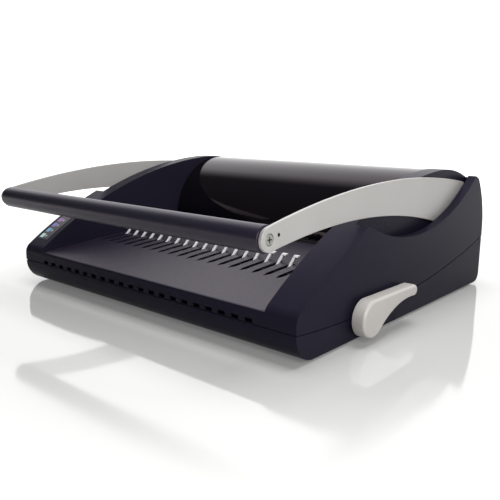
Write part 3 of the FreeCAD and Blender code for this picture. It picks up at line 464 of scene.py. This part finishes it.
# Colour strip on the left cheek.
# A thin printed vinyl label, laid on the curved top of the cheek: a row of five short bars that
# runs from teal at the front to rose at the rear, each with a pale dot beside it.
strip_front, strip_rear = 13, 50.5
strip_left, strip_right = -181, -163
strip_back, strip_face = 0.02, 0.2
cheek_middle_y, cheek_middle_z, cheek_radius = 270, -321.011, 450.011


def on_cheek(y, lift):
    """A point at this y on the cheek's curved top, lifted square to it."""
    across = y - cheek_middle_y
    up = math.sqrt(cheek_radius**2 - across**2)
    reach = 1 + lift / cheek_radius
    return cheek_middle_y + across * reach, cheek_middle_z + up * reach


strip = plate(
    "cheek_strip",
    [
        on_cheek(strip_front, strip_back),
        (*on_cheek(strip_rear, strip_back), -cheek_radius),
        on_cheek(strip_rear, strip_face),
        (*on_cheek(strip_front, strip_face), cheek_radius),
    ],
    strip_left,
    strip_right,
)
smooth(strip)

# Vinyl printed with flat inks under a satin film: bars in five colours on dark grey, and pale dots.
vinyl = new_material("printed_vinyl")
tree = vinyl.node_tree
inks = ("b0d8d4", "6ca4ce", "7a71c2", "9a64b2", "cf74a2")
ground, pale = "302e37", "a3a59e"
place = add_node(tree, "ShaderNodeTexCoord").outputs["Object"]
apart = add_node(tree, "ShaderNodeSeparateXYZ", links={"Vector": place})
along = add_node(
    tree,
    "ShaderNodeMapRange",
    {1: at(0, strip_front, 0).y, 2: at(0, strip_rear, 0).y, 3: 0, 4: 1},
    {0: apart.outputs["Y"]},
)
ramp = add_node(tree, "ShaderNodeValToRGB", links={"Fac": along.outputs[0]})
ramp.color_ramp.interpolation = "CONSTANT"
for i, ink in enumerate(inks):
    stop = ramp.color_ramp.elements[i] if i < 2 else ramp.color_ramp.elements.new(i / len(inks))
    stop.position, stop.color = i / len(inks), linear(ink)
count = add_node(tree, "ShaderNodeMath", {1: len(inks)}, {0: along.outputs[0]}, operation="MULTIPLY")
step = add_node(tree, "ShaderNodeMath", links={0: count.outputs[0]}, operation="FRACT")
bar_mark, dot_mark = (-177.2, 3.2, 0.33, ramp.outputs["Color"]), (-170.8, 1.4, 0.16, None)
for middle, half_wide, half_long, ink in (bar_mark, dot_mark):
    in_y = add_node(
        tree, "ShaderNodeMath", {1: 0.5, 2: half_long}, {0: step.outputs[0]}, operation="COMPARE"
    )
    in_x = add_node(
        tree,
        "ShaderNodeMath",
        {1: at(middle, 0, 0).x, 2: half_wide / 1000},
        {0: apart.outputs["X"]},
        operation="COMPARE",
    )
    mark = add_node(
        tree, "ShaderNodeMath", links={0: in_y.outputs[0], 1: in_x.outputs[0]}, operation="MULTIPLY"
    )
    printed = add_node(
        tree,
        "ShaderNodeMix",
        {6: linear(ground), 7: linear(pale)},
        {0: mark.outputs[0]},
        data_type="RGBA",
    )
    if ink:
        tree.links.new(ink, printed.inputs[7])
        bars = printed
    else:
        tree.links.new(bars.outputs[2], printed.inputs[6])
skin = add_node(
    tree,
    "ShaderNodeBsdfPrincipled",
    {"IOR": 1.5, "Roughness": 0.38},
    {"Base Color": printed.outputs[2]},
)
add_node(tree, "ShaderNodeOutputMaterial", links={"Surface": skin.outputs[0]})
strip.data.materials.append(vinyl)
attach(strip, "casing")


# Hood.
# A thin curved panel over the punch, moulded in black ABS in a polished tool, so it mirrors the
# room. Tabs at its foot and rear edge hold it in the upper shell.
hood_half = 155.2
hood = plate(
    "hood_shell",
    [
        (195, 52.15), (198, 52.15), (198, 53.25), (269.05, 124.3, -71.05), (271.05, 124.3),
        (323, 100, -67.68), (326.85, 100), (271.05, 127.3, 70.68), (269.05, 127.3), (195, 53.25, 74.05),
    ],
    -hood_half,
    hood_half,
    step=1.0,
)
round_edges(hood, 0.6, lambda x, y, z: abs(x) > hood_half - 0.1, 3)
smooth(hood)

# Polished black ABS: near mirror, with a faint unevenness of the moulded surface.
gloss_black = finish(
    "polished_black_abs",
    ("09080b", "0e0d11"),
    patch=40,
    grain=90,
    shine=(0.05, 0.08),
    relief=0.4,
    shader={"IOR": 1.54, "Specular IOR Level": 0.42, "Specular Tint": linear("f2deec")},
)
hood.data.materials.append(gloss_black)
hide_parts("hood_panel")
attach(hood, "casing")


# Arms of the handle.
# Two curved flat arms pressed from aluminium and lacquered satin silver. Each turns on the shaft
# in its cheek and takes a screw of the handle bar in a round recess at its tip.
arm_inner, arm_outer = 173.5, 176.5
bar_y, bar_z = -19.3, 97.4
tip, tip_radius = Vector((bar_y, bar_z)), 9
hub, hub_radius = Vector((pivot_y, pivot_z)), 18
corner, corner_radius = hub + Vector((12, 22.5)), 8
top_radius, bottom_radius = 837, 600
screw_seat, recess_radius = 175, 4.3
dowel_y, dowel_z, dowel_radius = bar_y + 9.6, bar_z + 2.3, 1.4


def beneath(first, first_reach, second, second_reach):
    """The point below two others that has these distances from them."""
    span = second - first
    ahead = span.normalized()
    along = (span.length_squared + first_reach**2 - second_reach**2) / (2 * span.length)
    drop = math.sqrt(first_reach**2 - along**2)
    return first + ahead * along + Vector((ahead.y, -ahead.x)) * drop


top_middle = beneath(tip, top_radius - tip_radius, corner, top_radius - corner_radius)
bottom_middle = beneath(tip, bottom_radius + tip_radius, hub, bottom_radius + hub_radius)
link = (corner - hub).normalized()
lean = (hub_radius - corner_radius) / (corner - hub).length
rearward = link * lean + Vector((link.y, -link.x)) * math.sqrt(1 - lean**2)
arm_outline = [
    (*hub + (bottom_middle - hub).normalized() * hub_radius, -bottom_radius),
    (*hub + rearward * hub_radius, hub_radius),
    tuple(corner + rearward * corner_radius),
    (*corner - (top_middle - corner).normalized() * corner_radius, corner_radius),
    (*tip - (top_middle - tip).normalized() * tip_radius, top_radius),
    (bar_y - tip_radius, bar_z, tip_radius),
    (*tip + (bottom_middle - tip).normalized() * tip_radius, tip_radius),
]

# The lacquer carries fine metal flake, drawn at 0.7 mm so that it shows.
satin_silver = finish(
    "satin_silver_lacquer",
    ("b0aeab", "bbb9b7"),
    patch=50,
    grain=0.7,
    shine=(0.36, 0.46),
    relief=0.06,
    shader={"Metallic": 0.35},
)

# Bare metal in holes, in grooves and under the bed is painted nearly black: painted shade for the shade
# that falls in these recesses.
painted_recess_shade = finish(
    "painted_recess_shade",
    ("272625", "363534"),
    patch=2,
    grain=0.8,
    shine=(0.5, 0.6),
    relief=0.02,
    shader={"IOR": 1.5},
)
for side, name in ((-1, "left_arm"), (1, "right_arm")):
    arm = plate(name + "_pressing", arm_outline, side * arm_inner, side * arm_outer)
    combine(arm, disc("screw_recess", bar_y, bar_z, recess_radius, side * screw_seat, side * 185, 0.5))
    round_edges(arm, 0.6, lambda x, y, z: abs(x) > arm_outer - 0.1 or abs(x) < arm_inner + 0.1, 3)
    combine(arm, disc("dowel_hole", dowel_y, dowel_z, dowel_radius, side * 170, side * 185, 0.3))
    smooth(arm)
    arm.data.materials.append(satin_silver)
    arm.data.materials.append(painted_recess_shade)
    # The wall of the dowel hole gets painted shade, so that the hole looks dark.
    for polygon in arm.data.polygons:
        reach = (polygon.center - at(0, dowel_y, dowel_z)) * 1000
        polygon.material_index = int(math.hypot(reach.y, reach.z) < dowel_radius + 0.1)
    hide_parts(name)
    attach(arm, "handle")


# Grip sleeve of the handle bar.
# A tube of soft-touch plastic pushed over the steel bar between the arms, with slightly rounded ends.
grip_half, grip_radius = 173.2, 10.1
bpy.ops.object.select_all(action="DESELECT")
bpy.ops.mesh.primitive_cylinder_add(
    vertices=96,
    radius=grip_radius / 1000,
    depth=grip_half * 2 / 1000,
    location=at(0, bar_y, bar_z),
    rotation=(0, math.pi / 2, 0),
)
grip = bpy.context.object
grip.name = grip.data.name = "grip_tube"
bpy.ops.object.transform_apply(location=True, rotation=True, scale=True)
round_edges(grip, 1.2, lambda x, y, z: abs(x) > grip_half - 0.1, 3)
smooth(grip, 50)

# Soft-touch lacquer: dark, matt, with a broad soft sheen along the top.
soft_touch = finish(
    "soft_touch_charcoal",
    ("211f2a", "272530"),
    patch=30,
    grain=0.8,
    shine=(0.3, 0.4),
    relief=0.05,
    shader={"IOR": 1.5, "Specular IOR Level": 0.42, "Specular Tint": linear("efdcf6")},
)
grip.data.materials.append(soft_touch)
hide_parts("grip_sleeve")
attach(grip, "handle")


# Screws of the handle bar.
# Flat-headed steel screws with a cross recess, one through the tip of each arm into the bar's end.
# They are zinc plated, which leaves a grey, slightly green bloom.
head_radius, head_top = 4.0, 176.2
groove_long, groove_wide, groove_floor = 2.4, 0.5, screw_seat + 0.1
zinc = finish(
    "zinc_plated_steel",
    ("8e928b", "a2a69e"),
    patch=3,
    grain=1.5,
    shine=(0.3, 0.45),
    relief=0.02,
    shader={"Metallic": 0.6},
)
screws = []
for side in (-1, 1):
    screw = disc("arm_screw", bar_y, bar_z, head_radius, side * screw_seat, side * head_top, 0.5)
    for half_y, half_z in ((groove_long, groove_wide), (groove_wide, groove_long)):
        groove = plate(
            "groove",
            oblong(bar_y - half_y, bar_y + half_y, bar_z - half_z, bar_z + half_z),
            side * groove_floor,
            side * 185,
        )
        combine(screw, groove)
    round_edges(
        screw,
        0.5,
        lambda x, y, z: abs(x) > head_top - 0.1 and math.hypot(y - bar_y, z - bar_z) > head_radius - 0.3,
        3,
    )
    smooth(screw)
    screw.data.materials.append(zinc)
    screw.data.materials.append(painted_recess_shade)
    # The faces inside the cross recess get painted shade, so that the cross looks dark.
    for polygon in screw.data.polygons:
        reach = (polygon.center - at(0, bar_y, bar_z)) * 1000
        depth_in, across = head_top - abs(reach.x), math.hypot(reach.y, reach.z)
        polygon.material_index = int(0.1 < depth_in < 1.15 and across < groove_long + 0.2)
    screws.append(screw)
join(*screws)
arm_screws = screws[0]
arm_screws.name = arm_screws.data.name = "arm_screw_pair"
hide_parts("arm_screws")
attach(arm_screws, "handle")


# Comb lever.
# A drop-shaped lever of cast zinc, lacquered satin silver, on the end of the shaft that moves the
# hooks. Its round boss keeps it clear of the casing.
lever_inner, lever_outer, boss_radius = 189, 201, 9
lever = plate(
    "comb_lever_casting",
    [
        (151.983, 26.027, -79), (157.5, 31, 5), (152.558, 36, 5), (84.185, 36.799), (68.2, 21, 15.8),
        (93.969, 8.742, 15.8),
    ],
    lever_inner,
    lever_outer,
)
combine(lever, disc("lever_boss", lever_y, lever_z, boss_radius, 186.3, lever_inner + 1), "UNION")
round_edges(lever, 2.5, lambda x, y, z: x > lever_outer - 0.1, 6)
round_edges(
    lever,
    0.8,
    lambda x, y, z: abs(x - lever_inner) < 0.1 and math.hypot(y - lever_y, z - lever_z) > boss_radius + 0.5,
    2,
)
smooth(lever)

# The casting's lacquer is a little paler and warmer than that of the arms and has less flake.
cast_silver = finish(
    "satin_silver_on_zinc",
    ("bebab6", "c9c6c2"),
    patch=40,
    grain=0.7,
    shine=(0.36, 0.46),
    relief=0.06,
    shader={"Metallic": 0.15},
)
lever.data.materials.append(cast_silver)
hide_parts("comb_lever")
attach(lever, "lever")


# Hooks of the comb rake.
# Twenty-one steel hooks, bent back from the rake under the bed, each with a short finger to the
# right that opens one ring of the comb. They are nickel plated, and their feet carry painted shade.
hook_foot, foot_top = (101.57, 38.6), (105.08, 42.15)
hook_neck, finger_low, hook_head = (105.13, 42.2), (114.32, 51.5), (116, 53.2)
half_thick, half_blade, finger_reach = 1.406, 1.5, 4.3


def hook_blade(name, low, high, left=-half_blade, right=half_blade):
    """A length of the hook's blade between two points of its middle line."""
    return plate(
        name,
        [
            (low[0] - half_thick, low[1]), (low[0] + half_thick, low[1]),
            (high[0] + half_thick, high[1]), (high[0] - half_thick, high[1]),
        ],
        row_start + left,
        row_start + right,
    )


hook = hook_blade("hook_row", hook_neck, hook_head)
finger = hook_blade("finger", finger_low, hook_head, 0, finger_reach)
combine(hook, finger, "UNION")
round_edges(hook, 0.35, lambda x, y, z: z > hook_neck[1] + 0.1, 2)
smooth(hook)

# Nickel plate: bright and nearly neutral, with a soft bloom from tumbling. The feet, which the bed
# covers, are painted dark with painted shade.
nickel = finish(
    "nickel_plated_steel",
    ("d8d7da", "e4e3e5"),
    patch=3,
    grain=1.2,
    shine=(0.3, 0.42),
    relief=0.02,
    shader={"Metallic": 0.1},
)
hook.data.materials.append(nickel)
# The feet get painted shade for the shadow of the bed that covers them.
foot = hook_blade("hook_foot", hook_foot, foot_top)
foot.data.materials.append(painted_recess_shade)
join(hook, foot)
in_row(hook)
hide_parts("rake_hooks")
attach(hook, "rake")


# Works inside the casing.
# Die strips, stop, frame plates, shafts, punch, rake and gears of cut, ground and blackened steel,
# with bronze bushes and rubber feet. They keep the shapes of the solids.

# Blackened steel is a dull blue-black, with fine lines along the pieces from cutting and grinding.
black_steel = finish(
    "blackened_steel",
    ("222125", "2e2d32"),
    patch=25,
    grain=0.8,
    shine=(0.62, 0.76),
    relief=0.03,
    shader={"Metallic": 0.3, "Specular IOR Level": 0.2},
    run=50,
)

# Sintered bronze is brown and satin, with small dark pores.
bronze = finish(
    "sintered_bronze",
    ("7d5b33", "a67c48"),
    patch=6,
    grain=0.6,
    shine=(0.4, 0.5),
    relief=0.05,
    shader={"Metallic": 1},
)

# Moulded rubber is a matt black with a fine bloom.
rubber = finish(
    "moulded_rubber",
    ("161517", "232225"),
    patch=5,
    grain=1.0,
    shine=(0.7, 0.8),
    relief=0.08,
    shader={"IOR": 1.5},
)
finishes = {
    "casing": moulded_abs, "bed": bed_abs, "hood": gloss_black, "tray": moulded_abs,
    "silver": satin_silver, "lever": cast_silver, "grip": soft_touch, "steel": black_steel,
    "hook": nickel, "screw": zinc, "bush": bronze, "rubber": rubber,
}
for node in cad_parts.values():
    for used in node.material_slots:
        slot = used.material.name.split(".")[0]
        used.material = finishes[slot]


# Floor.
# A wide sheet of white acrylic, polished under the machine and more and more matt away from it: a
# soft shadow, and a pale mirror image of the machine.
polished_to, matt_from, white_from = 0.28, 0.5, 0.9
bpy.ops.object.select_all(action="DESELECT")
bpy.ops.mesh.primitive_plane_add(size=40)
floor = bpy.context.object
floor.name = "studio_floor"
acrylic = new_material("white_acrylic")
tree = acrylic.node_tree
place = add_node(tree, "ShaderNodeTexCoord").outputs["Object"]
away = add_node(tree, "ShaderNodeVectorMath", links={0: place}, operation="LENGTH")
polish = add_node(
    tree,
    "ShaderNodeMapRange",
    {1: polished_to, 2: matt_from, 3: 0.06, 4: 0.5},
    {0: away.outputs["Value"]},
)
sheet = add_node(
    tree,
    "ShaderNodeBsdfPrincipled",
    {"Base Color": linear("b6b6b4"), "IOR": 2.0},
    {"Roughness": polish.outputs[0]},
)
rays = add_node(tree, "ShaderNodeLightPath")
mirrored = add_node(
    tree,
    "ShaderNodeMath",
    links={0: rays.outputs["Is Glossy Ray"], 1: rays.outputs["Is Transmission Ray"]},
    operation="MAXIMUM",
)
seen = add_node(
    tree,
    "ShaderNodeMath",
    links={0: rays.outputs["Is Camera Ray"], 1: mirrored.outputs[0]},
    operation="MAXIMUM",
)
paler = add_node(
    tree,
    "ShaderNodeMapRange",
    {1: polished_to, 2: white_from, 3: 0.12, 4: 1},
    {0: away.outputs["Value"]},
)
lift = add_node(
    tree, "ShaderNodeMath", links={0: seen.outputs[0], 1: paler.outputs[0]}, operation="MULTIPLY"
)
glow = add_node(tree, "ShaderNodeEmission", links={"Strength": lift.outputs[0]})
both = add_node(tree, "ShaderNodeAddShader", links={0: sheet.outputs[0], 1: glow.outputs[0]})
add_node(tree, "ShaderNodeOutputMaterial", links={"Surface": both.outputs[0]})
floor.data.materials.append(acrylic)


# Light.
# A white room, with a dark net hung over its front and right rear that is kept out of the pictures,
# and three soft boxes above, at the right and in front that light the arms, the hooks and the edges.
def softbox(name, place, target, width, height, power, mirrored=True):
    """A rectangular area lamp that points at a target, and may be kept out of mirror images."""
    lamp = bpy.data.lights.new(name, "AREA")
    lamp.shape, lamp.size, lamp.size_y, lamp.energy = "RECTANGLE", width, height, power
    holder = bpy.data.objects.new(name, lamp)
    holder.location = place
    holder.visible_camera, holder.visible_glossy = False, mirrored
    holder.rotation_euler = (Vector(target) - Vector(place)).to_track_quat("-Z", "Y").to_euler()
    bpy.context.scene.collection.objects.link(holder)


softbox("top_softbox", (0.13, 0, 0.8), (0.05, 0, 0.05), 0.4, 0.5, 6, mirrored=False)
softbox("right_softbox", (0.62, -0.43, 0.32), (0.15, -0.1, 0.09), 0.3, 0.3, 1.7)
softbox("front_softbox", (0.56, -0.64, 0.45), (0.12, -0.12, 0.06), 0.3, 0.3, 1)

# The net lets all light through at the rear, a twentieth of it in front, and little in a band that
# begins right of the middle and ends before the right side.
net_radius = 12
net_rear, net_front, front_share = math.radians(70), math.radians(98), 0.05
band_starts, band_full, band_fades, band_ends, band_dark = 0.1, 0.27, 0.65, 0.8, 0.85
bpy.ops.object.select_all(action="DESELECT")
bpy.ops.mesh.primitive_uv_sphere_add(segments=64, ring_count=32, radius=net_radius)
net = bpy.context.object
net.name = "dark_net"
net.visible_camera = False
weave = new_material("dark_net")
tree = weave.node_tree
place = add_node(tree, "ShaderNodeTexCoord").outputs["Object"]
apart = add_node(tree, "ShaderNodeSeparateXYZ", links={"Vector": place})
climb = add_node(
    tree, "ShaderNodeMath", links={0: apart.outputs["Z"], 1: apart.outputs["Y"]}, operation="ARCTAN2"
)
front = add_node(
    tree,
    "ShaderNodeMapRange",
    {1: net_rear, 2: net_front, 3: 1, 4: front_share},
    {0: climb.outputs[0]},
    interpolation_type="SMOOTHSTEP",
)
band_left = add_node(
    tree,
    "ShaderNodeMapRange",
    {1: band_starts * net_radius, 2: band_full * net_radius, 3: 0, 4: band_dark},
    {0: apart.outputs["X"]},
    interpolation_type="SMOOTHSTEP",
)
band_right = add_node(
    tree,
    "ShaderNodeMapRange",
    {1: band_fades * net_radius, 2: band_ends * net_radius, 3: 1, 4: 0},
    {0: apart.outputs["X"]},
    interpolation_type="SMOOTHSTEP",
)
band = add_node(
    tree,
    "ShaderNodeMath",
    links={0: band_left.outputs[0], 1: band_right.outputs[0]},
    operation="MULTIPLY",
)
open_side = add_node(tree, "ShaderNodeMath", {0: 1}, {1: band.outputs[0]}, operation="SUBTRACT")
passing = add_node(
    tree,
    "ShaderNodeMath",
    links={0: front.outputs[0], 1: open_side.outputs[0]},
    operation="MULTIPLY",
)
gauze = add_node(tree, "ShaderNodeBsdfTransparent", links={"Color": passing.outputs[0]})
add_node(tree, "ShaderNodeOutputMaterial", links={"Surface": gauze.outputs[0]})
net.data.materials.append(weave)

world = bpy.data.worlds.new("studio")
bpy.context.scene.world = world
world.use_nodes = True
tree = world.node_tree
tree.nodes.clear()
room = add_node(tree, "ShaderNodeBackground", {"Color": (1, 1, 1, 1), "Strength": 1.45})
add_node(tree, "ShaderNodeOutputWorld", links={"Surface": room.outputs[0]})


# Camera.
# It stands at the front right, a little above the machine. Its place and lens were worked out from
# the row of hooks and the straight edges of the casing.
lens = bpy.data.cameras.new("photo_camera")
lens.lens, lens.sensor_width, lens.clip_end = 44.57, 36, 200
camera = bpy.data.objects.new("photo_camera", lens)
camera.location = at(437.74, -336.97, 177.5)
camera.rotation_euler = Vector((-0.64580, 0.73490, -0.20705)).to_track_quat("-Z", "Y").to_euler()
camera.rotation_euler.rotate_axis("Z", math.radians(0.25))
bpy.context.scene.collection.objects.link(camera)
bpy.context.scene.camera = camera
bpy.context.scene.view_settings.view_transform = "Standard"
